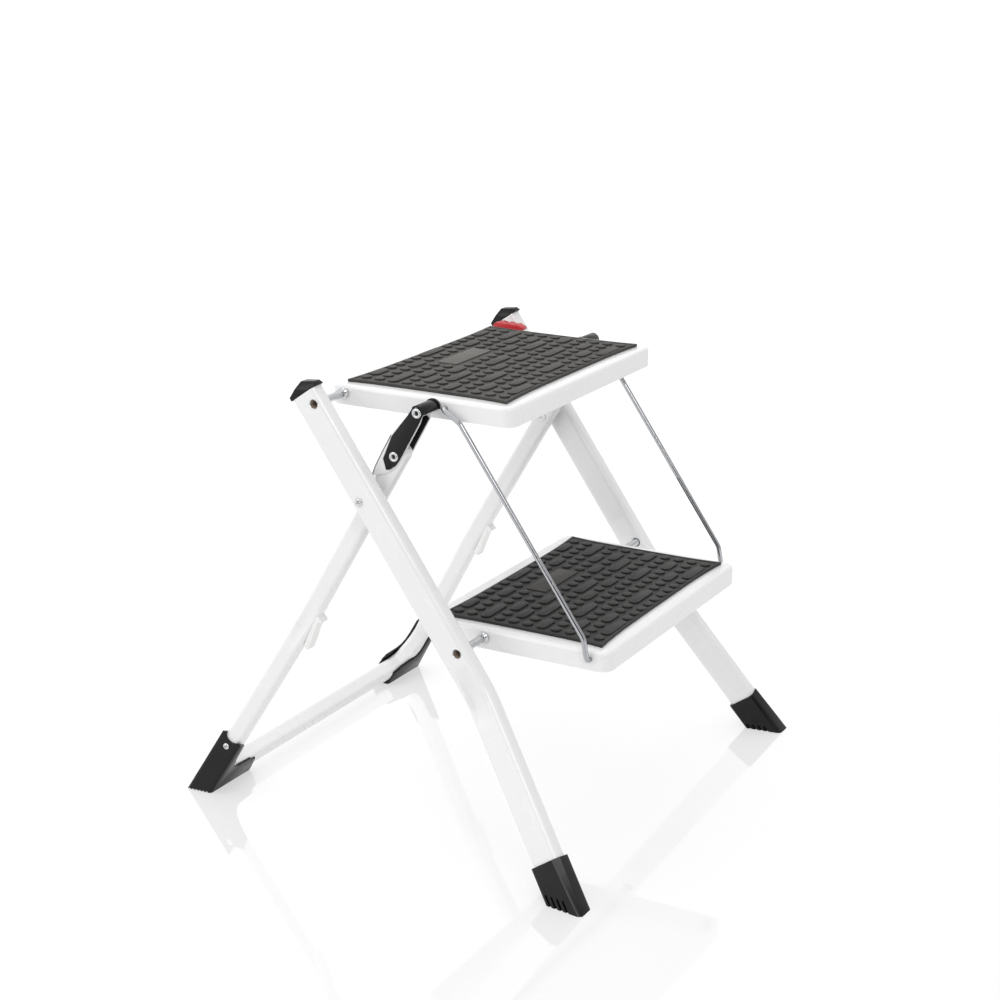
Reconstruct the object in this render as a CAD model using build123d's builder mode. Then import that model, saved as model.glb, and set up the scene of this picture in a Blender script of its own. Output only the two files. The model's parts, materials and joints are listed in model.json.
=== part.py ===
"""Folding two-tread step stool: tube frame, steel treads with rubber mats, side wires and folding links.

Millimetres, +Z up, the front (where a person climbs on) faces -Y.
The origin is on the floor, in the middle of the stool's footprint. Left is -X.
"""

import math
import os

from build123d import *

# ---- driving dimensions -------------------------------------------------------------------------
TREAD_WIDTH = 300.0
TREAD_DEPTH = 201.0
TREAD_SKIRT = 19.5          # height of the folded-down edge of a tread
SHEET = 1.2                 # steel sheet of the treads
TREAD_CORNER = 12.0
TREAD_EDGE = 4.0            # rounding between the top and the skirt
UPPER_TOP = 438.0           # top of the upper tread's sheet above the floor
LOWER_TOP = 217.0
UPPER_BACK = 16.4           # from a rod to its tread's back edge
LOWER_BACK = 68.6

MAT_THICKNESS = 3.0
MAT_SIDE = 11.5
MAT_FRONT = 12.3
MAT_BACK = 13.7
MAT_CORNER = 7.0

ROD_RADIUS = 4.0
ROD_BORE = 2.6
ROD_FLARE = 4.5             # swaged end that fills the leg's outer hole
FLARE_LENGTH = 1.4
UPPER_ROD = (75.25, 430.0)   # (y, z) of the rod that the upper tread turns on
LOWER_ROD = (-79.75, 209.0)
RUNNING = 0.05              # radial clearance of a pin that turns in its hole

LEG_WIDTH = 18.0
LEG_DEPTH = 30.0
LEG_CORNER = 6.0
LEG_WALL = 1.2
LEG_PLANE = 192.4           # centre plane of a front leg's straight part
LEG_SET_BACK = 6.0          # the leg's axis lies this far behind the line through the rods
LEG_TOP = 13.7              # above the upper rod, along the leg
LEG_BEND = 316.5            # below the upper rod, along the leg
LEG_SPLAY = 12.5            # degrees outwards, below the bend
LEG_BEND_RADIUS = 90.0
LEG_END_HEIGHT = 15.0       # centre of the tube's lower end above the floor

CAP_OVERHANG = 0.6
FOOT_WALL = 2.5
FOOT_TOP_HEIGHT = 40.0      # centre of the foot's upper rim above the floor
FOOT_BELOW = 60.0           # the foot is moulded this far down and cut off at the floor

REAR_WIDTH = 14.0
REAR_DEPTH = 18.0
REAR_CORNER = 5.0
REAR_WALL = 1.2
REAR_PLANE = 169.2
REAR_ANGLE = 59.55          # degrees from the floor
REAR_BEND = 176.0           # below the main pivot, along the rear leg
REAR_SPLAY = 7.0
REAR_BEND_RADIUS = 120.0
REAR_CORNER_RADIUS = 38.0
CROSS_TUBE_HEIGHT = 16.0    # axis of the rear cross tube above the floor

PIVOT_DOWN = 100.7          # main pivot: below the upper rod along the leg, and behind the rods
PIVOT_BACK = 11.0
PIVOT_RADIUS = 3.5
HEAD_RADIUS = 5.0
HEAD_HEIGHT = 2.0
TAIL_HEAD = 0.5
SPACER_RADIUS = 7.0
HEAD_ROUNDING = 0.8         # share of a rivet head's height that its rounding takes
TAIL_HOLLOW = 4.0           # depth of the hollow in the main rivet's tail
CUT_MARGIN = 1.0            # how far a cutting shape passes the face that it cuts

CAP_RISE = 4.5              # flat top of a leg cap above the leg's front edge
CAP_RIM = 4.0               # length of its rear wall
CAP_BACK_RUN = 7.0          # the slope from its rear wall to the flat top
CAP_BACK_DROP = 1.5
CAP_FRONT_OUT = 1.5         # overhang of the flat top at the front
CAP_NOSE_BACK = 1.8
CAP_NOSE_DROP = 2.8
CAP_CHAMFER = 1.0
CAP_HIP_DROP = 9.0          # start of the side slopes below the flat top
CAP_HIP_RISE = 2.0          # rise of the side slopes for each unit across
CAP_PLUG = 8.0              # length of the plug inside the leg

TREAD_FOLD = 50.0           # degrees that the treads turn down when the stool is folded
FRAME_FOLD = 62.0           # degrees that the rear frame swings forward
LINK_PIN = (-25.25, 429.5)   # (y, z) of the pin that joins a link to the upper tread
OVER_CENTRE = 1.0           # degrees that the link's middle pin stands off the straight line
LINK_PIN_RADIUS = 3.0
CHEEK = 1.5
LINK_INNER = 159.7          # |x| of the link's inner face
LINK_OUTER = 178.7          # |x| of the steel channel's outer face
COVER = 1.7
LINK_SLEEVE = 8.3
LINK_HEAD_HEIGHT = 1.7
LINK_TAIL_HEAD = 0.7

WIRE_RADIUS = 2.5
WIRE_PLANE = 155.6
WIRE_PIVOT = (-113.3, -0.5)  # wire holes, seen from each rod
WIRE_OFFSET = 9.0           # the wire's long run stands this far in front of its pivots' line
WIRE_SHOULDER = 20.0
WIRE_HOOK_BEND = 3.6        # bend radius beside each hook, and at each end of the long run
WIRE_BEND = 14.0
WIRE_CLEARANCE = 0.1
WIRE_INSIDE = 4.4           # how far a wire's end reaches into the tread
RETAINER_RADIUS = 5.0

COLLAR_RADIUS = 5.8
COLLAR_LENGTH = 3.0
ROD_SET_IN = 0.2            # a rod's end lies this far inside the legs' outer faces
BUSH_RADIUS = 5.4
BUSH_LENGTH = 4.0
BUSH_SET_IN = 0.6           # clears the rounding inside the tray
GAP = 0.4                   # side clearance between parts that turn past each other

REAR_FOOT_LENGTH = 58.0     # rim of a rear foot above the corner, along the leg
TOE_OUTLINE = [(-6, -45), (64, -45), (76, -10), (74, -3), (-6, -3)]  # inwards, up the leg
SCREW_UP = 46.0
SCREW_HEAD = 3.4
SCREW_RADIUS = 1.6
SCREW_HEAD_HEIGHT = 1.6
SCREW_HEAD_ROUNDING = 1.2
SCREW_REACH = 3.0           # past the wall of the tube

CLIP_WIDTH = 12.0
CLIP_OUTLINE = [            # down the rear leg from the main pivot, and forwards of its axis
    (149, 9), (149, 10.5), (151.5, 15.5), (153.5, 15), (154.5, 12.5),
    (176, 17.5), (187, 13.5), (188, 11.5), (160, 9.6), (160, 9),
]

EYE_RADIUS = 6.0
SPACER_RING = 5.0
CHEEK_OUTLINE = [
    (0, -5.5), (3, -5.5), (8, -6), (50, -6), (60, -4.5), (66, 2), (64, 11.9), (34, 11.9), (8, 6.8),
    (3, 5.5), (0, 5.5),
]
WEB_OUTLINE = [(34, 10.4), (64, 10.4), (80, 16.5), (79, 18), (63, 11.9), (34, 11.9)]
COVER_OUTLINE = [(0, -6.6), (52, -6.6), (62, -5), (69, -0.5), (60, 9.2), (36, 12.2), (8, 7.6), (0, 8)]
HOOD_OPENING = [(2, -12), (2, 12), (12, 12), (12, -12)]

LATCH_FROM = 154.4          # |x| of the latch's inner face, on the right
LATCH_WIDTH = 11.0
LATCH_HUB = 9.0
LATCH_ROUNDING = 2.0
LATCH_OUTLINE = [           # rearwards and upwards from the upper rod
    (7, 2), (8, 13), (-2, 16), (-12, 14.5), (-22, 14), (-34, 10), (-34, 7),
    (-24, 2), (-22, -4), (-26, -9), (-20, -12), (-14, -6), (-6, -7),
]
SPRING_WIRE = 0.6
SPRING_RADIUS = 6.2
SPRING_TURNS = 4
SPRING_TURN_GAP = 0.2
SPRING_FROM_LATCH = 1.2

# ---- directions and points that follow from them ------------------------------------------------
rods_y = UPPER_ROD[0] - LOWER_ROD[0]
rods_z = UPPER_ROD[1] - LOWER_ROD[1]
rod_span = math.hypot(rods_y, rods_z)
DOWN = Vector(0, -rods_y / rod_span, -rods_z / rod_span)      # down a front leg
FORWARD = Vector(0, -rods_z / rod_span, rods_y / rod_span)    # square to it, forwards and up
REAR_DOWN = Vector(0, math.cos(math.radians(REAR_ANGLE)), -math.sin(math.radians(REAR_ANGLE)))
REAR_FORWARD = Vector(0, REAR_DOWN.Z, -REAR_DOWN.Y)           # square to a rear leg, forwards
ACROSS = Vector(1, 0, 0)
rod_point = Vector(0, *UPPER_ROD)
pivot_point = rod_point + DOWN * PIVOT_DOWN - FORWARD * PIVOT_BACK


def turned(vector, degrees):
    """The vector turned about +X."""
    return vector.rotate(Axis.X, degrees)


def middle_pin():
    """The link's pin on the rear leg, placed so that the link closes both open and folded."""
    open_arm = Vector(0, *LINK_PIN) - pivot_point
    folded_pin = rod_point + turned(Vector(0, *LINK_PIN) - rod_point, TREAD_FOLD)
    folded_arm = folded_pin - pivot_point
    change = turned(folded_arm, FRAME_FOLD) - open_arm
    reach = (folded_arm.length ** 2 - open_arm.length ** 2) / 2
    direction = turned(open_arm, OVER_CENTRE).normalized()
    return pivot_point + direction * (reach / direction.dot(change))


middle_point = middle_pin()
pin_point = Vector(0, *LINK_PIN)
LINK_DOWN = (middle_point - pin_point).normalized()           # from the tread's pin to the leg's pin
LINK_BACK = Vector(0, -LINK_DOWN.Z, LINK_DOWN.Y)              # square to it, to the rear


def yz(point):
    return (point.Y, point.Z)


# ---- shapes that several parts use --------------------------------------------------------------
def bar(x_from, x_to, centre, radius, mode=Mode.ADD):
    """A round bar or hole along X; centre is (y, z)."""
    with BuildSketch(Plane.YZ.offset(x_from)) as disc:
        with Locations(centre):
            Circle(radius)
    extrude(disc.sketch, amount=x_to - x_from, mode=mode)


def slab(x_from, x_to, outline, mode=Mode.ADD):
    """A flat plate across X with a polygon outline of (y, z) points."""
    with BuildSketch(Plane.YZ.offset(x_from)) as face:
        Polygon(*outline, align=None)
    extrude(face.sketch, amount=x_to - x_from, mode=mode)


def tube_section(plane, width, depth, corner, wall):
    with BuildSketch(plane) as section:
        RectangleRounded(width, depth, corner)
        if wall:
            RectangleRounded(width - 2 * wall, depth - 2 * wall, corner - wall, mode=Mode.SUBTRACT)
    return section.sketch


def finish(part, name):
    """Labels a part and writes its STEP file."""
    part.label = name
    export_step(part, f"parts/{name}.step")
    return part


def both_sides(part, name):
    """Writes a left-hand part and its mirror image for the right."""
    finish(part, f"{name}_left")
    right = mirror(part, about=Plane.YZ)
    return finish(right, f"{name}_right")


# ---- front frame --------------------------------------------------------------------------------
leg_axis = rod_point - FORWARD * LEG_SET_BACK - ACROSS * LEG_PLANE
leg_bend = leg_axis + DOWN * LEG_BEND
splay = math.radians(LEG_SPLAY)
LOWER_DOWN = DOWN * math.cos(splay) - ACROSS * math.sin(splay)
LOWER_ACROSS = ACROSS * math.cos(splay) + DOWN * math.sin(splay)


def lower_leg_point(height):
    """The point of the left leg's splayed axis at a height above the floor."""
    return leg_bend + LOWER_DOWN * ((height - leg_bend.Z) / LOWER_DOWN.Z)


def front_leg():
    top = leg_axis - DOWN * LEG_TOP
    with BuildPart() as leg:
        with BuildLine() as centre_line:
            FilletPolyline(top, leg_bend, lower_leg_point(LEG_END_HEIGHT), radius=LEG_BEND_RADIUS)
        start = Plane(origin=top, x_dir=ACROSS, z_dir=DOWN)
        sweep(tube_section(start, LEG_WIDTH, LEG_DEPTH, LEG_CORNER, LEG_WALL), path=centre_line.line)
        outer_face = -LEG_PLANE - LEG_WIDTH / 2
        inner_face = -LEG_PLANE + LEG_WIDTH / 2
        for rod in (UPPER_ROD, LOWER_ROD):
            bar(outer_face + FLARE_LENGTH, inner_face + CUT_MARGIN, rod, ROD_RADIUS, Mode.SUBTRACT)
            bar(outer_face - CUT_MARGIN, outer_face + FLARE_LENGTH, rod, ROD_FLARE, Mode.SUBTRACT)
        bar(
            outer_face - CUT_MARGIN, inner_face + CUT_MARGIN, yz(pivot_point), PIVOT_RADIUS, Mode.SUBTRACT)
    return leg.part


def front_leg_cap():
    """Hipped plastic cap with a plug that fills the top of the tube."""
    centre = leg_axis - DOWN * LEG_TOP
    half_depth = LEG_DEPTH / 2 + CAP_OVERHANG
    half_width = LEG_WIDTH / 2 + CAP_OVERHANG
    rear_low = centre - FORWARD * half_depth
    front_low = centre + FORWARD * half_depth
    rear_rim = rear_low - DOWN * CAP_RIM
    plateau_z = front_low.Z + CAP_RISE
    ridge = [
        yz(rear_low),
        yz(rear_rim),
        (rear_rim.Y - CAP_BACK_RUN, plateau_z - CAP_BACK_DROP),
        (front_low.Y + CAP_FRONT_OUT, plateau_z),
        (front_low.Y - CAP_NOSE_BACK, plateau_z - CAP_NOSE_DROP),
        yz(front_low),
    ]
    with BuildPart() as cap:
        slab(-LEG_PLANE - half_width, -LEG_PLANE + half_width, ridge)
        sides = cap.edges().filter_by(Axis.X).group_by(Axis.Z)[-1]
        chamfer(sides, length=CAP_CHAMFER)
        for side in (-1, 1):
            hip = Plane(
                origin=(-LEG_PLANE + side * half_width, 0, plateau_z - CAP_HIP_DROP),
                z_dir=Vector(side * CAP_HIP_RISE, 0, 1),
            )
            split(bisect_by=hip, keep=Keep.BOTTOM)
        with BuildSketch(Plane(origin=centre, x_dir=ACROSS, z_dir=DOWN)) as plug:
            RectangleRounded(
                LEG_WIDTH - 2 * LEG_WALL, LEG_DEPTH - 2 * LEG_WALL, LEG_CORNER - LEG_WALL)
        extrude(plug.sketch, amount=CAP_PLUG)
    return cap.part


def front_foot():
    """Plastic boot over the lower end of a front leg, cut off level at the floor."""
    rim = lower_leg_point(FOOT_TOP_HEIGHT)
    tube_end = lower_leg_point(LEG_END_HEIGHT)
    with BuildPart() as foot:
        with BuildSketch(Plane(origin=rim, x_dir=LOWER_ACROSS, z_dir=LOWER_DOWN)) as outside:
            RectangleRounded(LEG_WIDTH + 2 * FOOT_WALL, LEG_DEPTH + 2 * FOOT_WALL, LEG_CORNER)
        extrude(outside.sketch, amount=FOOT_BELOW + 30)
        split(bisect_by=Plane.XY, keep=Keep.TOP)
        with BuildSketch(Plane(origin=rim, x_dir=LOWER_ACROSS, z_dir=LOWER_DOWN)) as socket:
            RectangleRounded(LEG_WIDTH, LEG_DEPTH, LEG_CORNER)
        extrude(socket.sketch, amount=(tube_end - rim).length, mode=Mode.SUBTRACT)
    return foot.part


def rod(centre):
    """Hollow rod from one front leg to the other, with a swaged end in each outer wall."""
    end = LEG_PLANE + LEG_WIDTH / 2 - ROD_SET_IN
    shoulder = LEG_PLANE + LEG_WIDTH / 2 - FLARE_LENGTH
    with BuildPart() as tube:
        bar(-shoulder, shoulder, centre, ROD_RADIUS)
        bar(-end, -shoulder, centre, ROD_FLARE)
        bar(shoulder, end, centre, ROD_FLARE)
        bar(-end, end, centre, ROD_BORE, Mode.SUBTRACT)
    return tube.part


def rod_collars(centre):
    """Two collars on a rod that keep its tread in the middle."""
    inner = TREAD_WIDTH / 2 + GAP
    with BuildPart() as collars:
        for x in (-inner - COLLAR_LENGTH, inner):
            bar(x, x + COLLAR_LENGTH, centre, COLLAR_RADIUS)
        bar(-LEG_PLANE, LEG_PLANE, centre, ROD_RADIUS, Mode.SUBTRACT)
    return collars.part


def main_pivot():
    """Rivet through a front and a rear leg, domed outside, with a thin tail head inside."""
    outer = -LEG_PLANE - LEG_WIDTH / 2
    inner = -REAR_PLANE + REAR_WIDTH / 2
    with BuildPart() as rivet:
        bar(outer, inner + RUNNING, yz(pivot_point), PIVOT_RADIUS)
        bar(outer - HEAD_HEIGHT, outer, yz(pivot_point), HEAD_RADIUS)
        fillet(rivet.faces().sort_by(Axis.X)[0].edges(), radius=HEAD_HEIGHT * HEAD_ROUNDING)
        bar(inner + RUNNING, inner + RUNNING + TAIL_HEAD, yz(pivot_point), HEAD_RADIUS)
        bar(inner - TAIL_HOLLOW, inner + CUT_MARGIN, yz(pivot_point), ROD_BORE, Mode.SUBTRACT)
    return rivet.part


def pivot_spacer():
    """Washer that keeps a front and a rear leg apart."""
    outer = -LEG_PLANE + LEG_WIDTH / 2
    inner = -REAR_PLANE - REAR_WIDTH / 2
    with BuildPart() as washer:
        bar(outer, inner - RUNNING, yz(pivot_point), SPACER_RADIUS)
        bar(outer, inner, yz(pivot_point), PIVOT_RADIUS, Mode.SUBTRACT)
    return washer.part


# ---- rear frame ---------------------------------------------------------------------------------
rear_bend = pivot_point + REAR_DOWN * REAR_BEND - ACROSS * REAR_PLANE
rear_splay = math.radians(REAR_SPLAY)
REAR_LOWER_DOWN = REAR_DOWN * math.cos(rear_splay) - ACROSS * math.sin(rear_splay)
REAR_LOWER_ACROSS = ACROSS * math.cos(rear_splay) + REAR_DOWN * math.sin(rear_splay)
rear_corner = rear_bend + REAR_LOWER_DOWN * (
    (CROSS_TUBE_HEIGHT - rear_bend.Z) / REAR_LOWER_DOWN.Z)
screw_seat = rear_corner - REAR_LOWER_DOWN * SCREW_UP - REAR_LOWER_ACROSS * (
    REAR_WIDTH / 2 + FOOT_WALL)


def mirrored(point):
    return Vector(-point.X, point.Y, point.Z)


def rear_tube(wall):
    """The bent tube of the rear frame; with no wall it is the solid envelope."""
    pin_height = (middle_point - pivot_point).dot(REAR_DOWN)
    top = pivot_point + REAR_DOWN * (pin_height - REAR_DEPTH) - ACROSS * REAR_PLANE
    with BuildPart() as frame:
        with BuildLine() as centre_line:
            FilletPolyline(
                top,
                rear_bend,
                rear_corner,
                mirrored(rear_corner),
                mirrored(rear_bend),
                mirrored(top),
                radius=[REAR_BEND_RADIUS, REAR_CORNER_RADIUS, REAR_CORNER_RADIUS, REAR_BEND_RADIUS],
            )
        start = Plane(origin=top, x_dir=ACROSS, z_dir=REAR_DOWN)
        sweep(tube_section(start, REAR_WIDTH, REAR_DEPTH, REAR_CORNER, wall), path=centre_line.line)
    return frame.part


def rear_frame_tube():
    """The hollow tube with its pivot holes, and with each top end rounded about the link's pin."""
    reach = REAR_PLANE + REAR_WIDTH
    side = Plane(origin=(-reach, *yz(middle_point)), x_dir=REAR_FORWARD, z_dir=ACROSS)
    with BuildPart() as frame:
        add(rear_tube(REAR_WALL))
        bar(-reach, reach, yz(pivot_point), PIVOT_RADIUS + RUNNING, Mode.SUBTRACT)
        bar(-reach, reach, yz(middle_point), LINK_PIN_RADIUS, Mode.SUBTRACT)
        with BuildSketch(side) as beyond:
            with Locations((0, -REAR_DEPTH)):
                Rectangle(4 * REAR_DEPTH, 2 * REAR_DEPTH)
            Circle(REAR_DEPTH / 2, mode=Mode.SUBTRACT)
        extrude(beyond.sketch, amount=2 * reach, mode=Mode.SUBTRACT)
        for seat, inwards in (
            (screw_seat, REAR_LOWER_ACROSS),
            (mirrored(screw_seat), mirrored(REAR_LOWER_ACROSS)),
        ):
            with BuildSketch(Plane(origin=seat, z_dir=inwards)) as hole:
                Circle(SCREW_RADIUS)
            extrude(hole.sketch, amount=REAR_WIDTH / 2 + FOOT_WALL, mode=Mode.SUBTRACT)
    return frame.part


def rear_foot():
    """Moulded shoe round a rear corner: a sleeve on the leg and a toe under the cross tube."""
    rim = rear_corner - REAR_LOWER_DOWN * REAR_FOOT_LENGTH
    across_frame = Plane(origin=rear_corner, x_dir=ACROSS, z_dir=REAR_FORWARD)
    half_depth = REAR_DEPTH / 2 + FOOT_WALL
    with BuildPart() as foot:
        with BuildSketch(Plane(origin=rim, x_dir=REAR_LOWER_ACROSS, z_dir=REAR_LOWER_DOWN)) as sleeve:
            RectangleRounded(REAR_WIDTH + 2 * FOOT_WALL, 2 * half_depth, REAR_CORNER)
        extrude(sleeve.sketch, amount=REAR_FOOT_LENGTH + FOOT_BELOW)
        with BuildSketch(across_frame.offset(-half_depth)) as toe:
            Polygon(*TOE_OUTLINE, align=None)
        extrude(toe.sketch, amount=2 * half_depth)
        split(bisect_by=Plane.XY, keep=Keep.TOP)
        add(rear_tube(0), mode=Mode.SUBTRACT)
        with BuildSketch(Plane(origin=screw_seat, z_dir=REAR_LOWER_ACROSS)) as hole:
            Circle(SCREW_RADIUS)
        extrude(hole.sketch, amount=FOOT_WALL + CUT_MARGIN, mode=Mode.SUBTRACT)
    return foot.part


def rear_foot_screw():
    with BuildPart() as screw:
        with BuildSketch(Plane(origin=screw_seat, z_dir=-REAR_LOWER_ACROSS)) as head:
            Circle(SCREW_HEAD)
        extrude(head.sketch, amount=SCREW_HEAD_HEIGHT)
        fillet(screw.faces().sort_by(Axis.X)[0].edges(), radius=SCREW_HEAD_ROUNDING)
        with BuildSketch(Plane(origin=screw_seat, z_dir=REAR_LOWER_ACROSS)) as shank:
            Circle(SCREW_RADIUS)
        extrude(shank.sketch, amount=FOOT_WALL + REAR_WALL + SCREW_REACH)
    return screw.part


def transport_clip():
    """Springy plastic tongue on the front of a rear leg, for the lower rod when folded."""
    outline = [
        yz(pivot_point + REAR_DOWN * down + REAR_FORWARD * forward)
        for down, forward in CLIP_OUTLINE
    ]
    half = CLIP_WIDTH / 2
    with BuildPart() as clip:
        slab(-REAR_PLANE - half, -REAR_PLANE + half, outline)
    return clip.part


def rear_link_pin():
    """Rivet through the top of a rear leg and both cheeks of its link."""
    cover_face = -LINK_OUTER - COVER
    with BuildPart() as rivet:
        bar(cover_face - RUNNING, -LINK_INNER + RUNNING, yz(middle_point), LINK_PIN_RADIUS)
        bar(cover_face - RUNNING - LINK_HEAD_HEIGHT, cover_face - RUNNING, yz(middle_point), HEAD_RADIUS)
        fillet(rivet.faces().sort_by(Axis.X)[0].edges(), radius=LINK_HEAD_HEIGHT * HEAD_ROUNDING)
        bar(-LINK_INNER + RUNNING, -LINK_INNER + RUNNING + LINK_TAIL_HEAD, yz(middle_point), HEAD_RADIUS)
    return rivet.part


# ---- treads -------------------------------------------------------------------------------------
def tread_pan(top, back, turning_rod):
    """Pressed steel tray, open below, with holes for its rod and its wires."""
    middle_y = turning_rod[0] + back - TREAD_DEPTH / 2
    with BuildPart() as pan:
        with BuildSketch(Plane.XY.offset(top - TREAD_SKIRT)) as outline:
            with Locations((0, middle_y)):
                RectangleRounded(TREAD_WIDTH, TREAD_DEPTH, TREAD_CORNER)
        extrude(outline.sketch, amount=TREAD_SKIRT)
        fillet(pan.faces().sort_by(Axis.Z)[-1].edges(), radius=TREAD_EDGE)
        offset(amount=-SHEET, openings=pan.faces().sort_by(Axis.Z)[0])
        reach = TREAD_WIDTH / 2 + CUT_MARGIN
        wire_hole = (turning_rod[0] + WIRE_PIVOT[0], turning_rod[1] + WIRE_PIVOT[1])
        bar(-reach, reach, turning_rod, ROD_RADIUS + RUNNING, Mode.SUBTRACT)
        bar(-reach, reach, wire_hole, WIRE_RADIUS + WIRE_CLEARANCE, Mode.SUBTRACT)
    return pan.part


def tread_mat(top, back, turning_rod):
    """Rubber mat that lies on the tray inside its border."""
    rear = turning_rod[0] + back - MAT_BACK
    depth = TREAD_DEPTH - MAT_BACK - MAT_FRONT
    with BuildPart() as mat:
        with BuildSketch(Plane.XY.offset(top)) as outline:
            with Locations((0, rear - depth / 2)):
                RectangleRounded(TREAD_WIDTH - 2 * MAT_SIDE, depth, MAT_CORNER)
        extrude(outline.sketch, amount=MAT_THICKNESS)
        fillet(mat.faces().sort_by(Axis.Z)[-1].edges(), radius=MAT_THICKNESS / 4)
    return mat.part


def tread_bushes(turning_rod):
    """Plastic rings inside a tray's two skirts that run on its rod."""
    wall = TREAD_WIDTH / 2 - SHEET - BUSH_SET_IN
    with BuildPart() as bushes:
        for x in (-wall, wall - BUSH_LENGTH):
            bar(x, x + BUSH_LENGTH, turning_rod, BUSH_RADIUS)
        bar(-wall, wall, turning_rod, ROD_RADIUS + RUNNING, Mode.SUBTRACT)
    return bushes.part


# ---- side wires ---------------------------------------------------------------------------------
upper_hole = rod_point + Vector(0, *WIRE_PIVOT)
lower_hole = upper_hole + DOWN * rod_span


def wire():
    """Bright steel wire that hangs the lower tread from the upper one, hooked into both."""
    hook = -TREAD_WIDTH / 2 + WIRE_INSIDE
    upper = upper_hole - ACROSS * WIRE_PLANE
    lower = lower_hole - ACROSS * WIRE_PLANE
    corners = [
        upper_hole + ACROSS * hook,
        upper,
        upper + DOWN * WIRE_SHOULDER + FORWARD * WIRE_OFFSET,
        lower - DOWN * WIRE_SHOULDER + FORWARD * WIRE_OFFSET,
        lower,
        lower_hole + ACROSS * hook,
    ]
    with BuildPart() as bent:
        with BuildLine() as centre_line:
            FilletPolyline(*corners, radius=[WIRE_HOOK_BEND, WIRE_BEND, WIRE_BEND, WIRE_HOOK_BEND])
        with BuildSketch(Plane(origin=corners[0], z_dir=-ACROSS)) as section:
            Circle(WIRE_RADIUS)
        sweep(section.sketch, path=centre_line.line)
    return bent.part


def wire_retainers():
    """Push-on washers that hold a wire's two ends inside the treads."""
    wall = -TREAD_WIDTH / 2 + SHEET + GAP
    with BuildPart() as washers:
        for hole in (upper_hole, lower_hole):
            bar(wall, wall + SHEET, yz(hole), RETAINER_RADIUS)
            bar(wall, wall + SHEET, yz(hole), WIRE_RADIUS, Mode.SUBTRACT)
    return washers.part


# ---- folding links ------------------------------------------------------------------------------
def on_link(outline):
    """Outline points given down the link from the tread's pin, and to its rear."""
    return [yz(pin_point + LINK_DOWN * down + LINK_BACK * back) for down, back in outline]


def link_channel():
    """Pressed steel channel, open to the front, that straddles the top of a rear leg."""
    with BuildPart() as channel:
        for x in (-LINK_OUTER, -LINK_INNER - CHEEK):
            slab(x, x + CHEEK, on_link(CHEEK_OUTLINE))
            bar(x, x + CHEEK, yz(pin_point), EYE_RADIUS)
        slab(-LINK_OUTER, -LINK_INNER, on_link(WEB_OUTLINE))
        bar(-LINK_OUTER, -LINK_INNER, yz(pin_point), LINK_PIN_RADIUS, Mode.SUBTRACT)
        bar(-LINK_OUTER, -LINK_INNER, yz(middle_point), LINK_PIN_RADIUS + RUNNING, Mode.SUBTRACT)
    return channel.part


def link_cover():
    """Plastic cover: a plate on the channel's outer cheek and a hood over the tread's pin."""
    outer = -LINK_OUTER - COVER
    hood_end = -TREAD_WIDTH / 2 - GAP
    with BuildPart() as cover:
        bar(outer, hood_end, yz(pin_point), LINK_SLEEVE)
        bar(-LINK_OUTER, hood_end, yz(pin_point), EYE_RADIUS + RUNNING, Mode.SUBTRACT)
        slab(-LINK_OUTER, hood_end, on_link(HOOD_OPENING), Mode.SUBTRACT)
        slab(outer, -LINK_OUTER, on_link(COVER_OUTLINE))
        bar(outer, -LINK_OUTER, yz(pin_point), LINK_PIN_RADIUS, Mode.SUBTRACT)
        bar(outer, -LINK_OUTER, yz(middle_point), LINK_PIN_RADIUS + RUNNING, Mode.SUBTRACT)
    return cover.part


def link_pin():
    """Rivet at the tread's end of a link; it stops just short of the tread's skirt."""
    outer = -LINK_OUTER - COVER
    with BuildPart() as rivet:
        bar(outer, -TREAD_WIDTH / 2 - GAP, yz(pin_point), LINK_PIN_RADIUS)
        bar(outer - LINK_HEAD_HEIGHT, outer, yz(pin_point), HEAD_RADIUS)
        fillet(rivet.faces().sort_by(Axis.X)[0].edges(), radius=LINK_HEAD_HEIGHT * HEAD_ROUNDING)
    return rivet.part


def link_spacers():
    """Two rings on the tread's pin: one between the cheeks, one between the link and the tread."""
    with BuildPart() as rings:
        bar(-LINK_OUTER + CHEEK, -LINK_INNER - CHEEK, yz(pin_point), SPACER_RING)
        bar(-LINK_INNER, -TREAD_WIDTH / 2 - GAP, yz(pin_point), SPACER_RING)
        bar(-LINK_OUTER, -TREAD_WIDTH / 2, yz(pin_point), LINK_PIN_RADIUS, Mode.SUBTRACT)
    return rings.part


# ---- safety latch -------------------------------------------------------------------------------
def safety_latch():
    """Red lever on the upper rod; its nose hooks down beside the tread."""
    outline = [(UPPER_ROD[0] + back, UPPER_ROD[1] + up) for back, up in LATCH_OUTLINE]
    with BuildPart() as latch:
        slab(LATCH_FROM, LATCH_FROM + LATCH_WIDTH, outline)
        bar(LATCH_FROM, LATCH_FROM + LATCH_WIDTH, UPPER_ROD, LATCH_HUB)
        bar(LATCH_FROM, LATCH_FROM + LATCH_WIDTH, UPPER_ROD, ROD_RADIUS + RUNNING, Mode.SUBTRACT)
        fillet(latch.edges().filter_by(Axis.X).group_by(Axis.Z)[-1], radius=LATCH_ROUNDING)
    return latch.part


def latch_spring():
    """Torsion spring round the upper rod, beside the latch."""
    start = LATCH_FROM + LATCH_WIDTH + SPRING_FROM_LATCH
    pitch = 2 * SPRING_WIRE + SPRING_TURN_GAP
    with BuildPart() as spring:
        with BuildLine() as coil:
            Helix(
                pitch=pitch,
                height=pitch * SPRING_TURNS,
                radius=SPRING_RADIUS,
                center=(start, *UPPER_ROD),
                direction=(1, 0, 0),
            )
        with BuildSketch(Plane(origin=coil.line @ 0, z_dir=coil.line % 0)) as section:
            Circle(SPRING_WIRE)
        sweep(section.sketch, path=coil.line, is_frenet=True)
    return spring.part


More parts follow.
